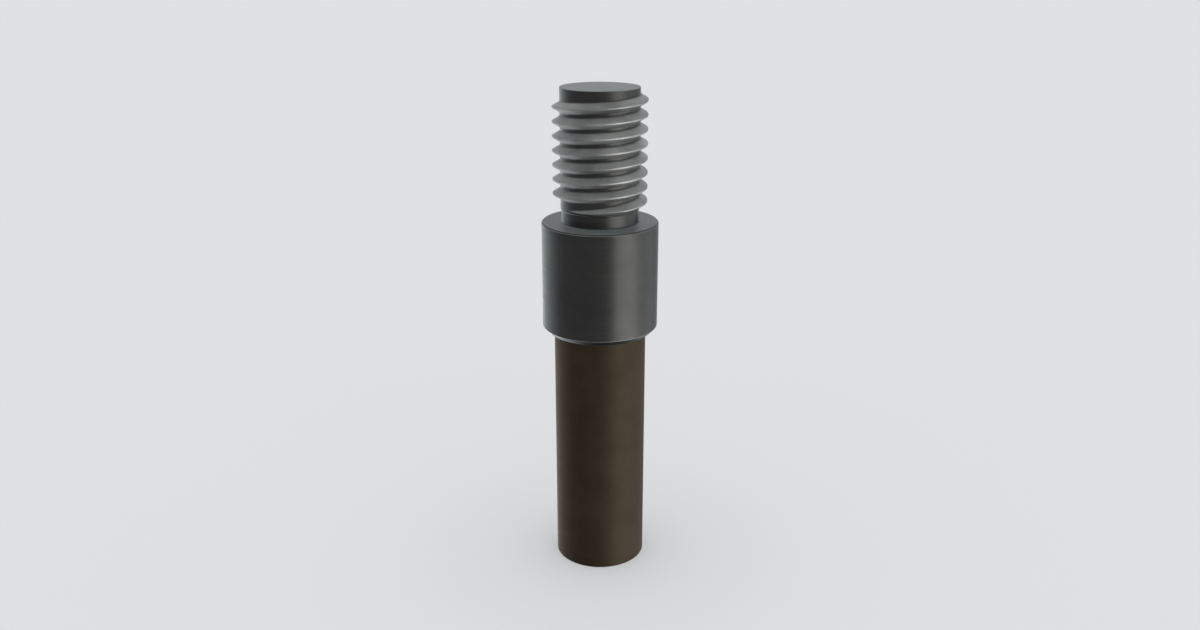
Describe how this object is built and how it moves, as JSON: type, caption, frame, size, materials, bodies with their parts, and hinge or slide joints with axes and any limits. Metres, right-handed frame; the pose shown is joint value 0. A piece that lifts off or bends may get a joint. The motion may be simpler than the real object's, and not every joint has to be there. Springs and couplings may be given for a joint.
{
  "type": "threaded bolt",
  "caption": "Turned steel bolt with a plain round shank, a wider round collar above it and a short threaded stud on top, with a relief below the thread.",
  "frame": {"origin": "centre of the shank's flat end face, on the bolt's axis, where the bolt stands", "axes": "+Z along the bolt's axis from the shank's end to the threaded stud; +X to the right and +Y away in the pictured view, where the thread's ridge starts 135 degrees clockwise of +X seen from above"},
  "size_m": [0.0126, 0.0124, 0.0535],
  "materials": {
    "finished_steel": "turned steel, blackened grey on the collar and stud and dark brown on the shank, semi-gloss"
  },
  "bodies": {
    "root": {"threaded_bolt": "finished_steel"}
  },
  "joints": []
}
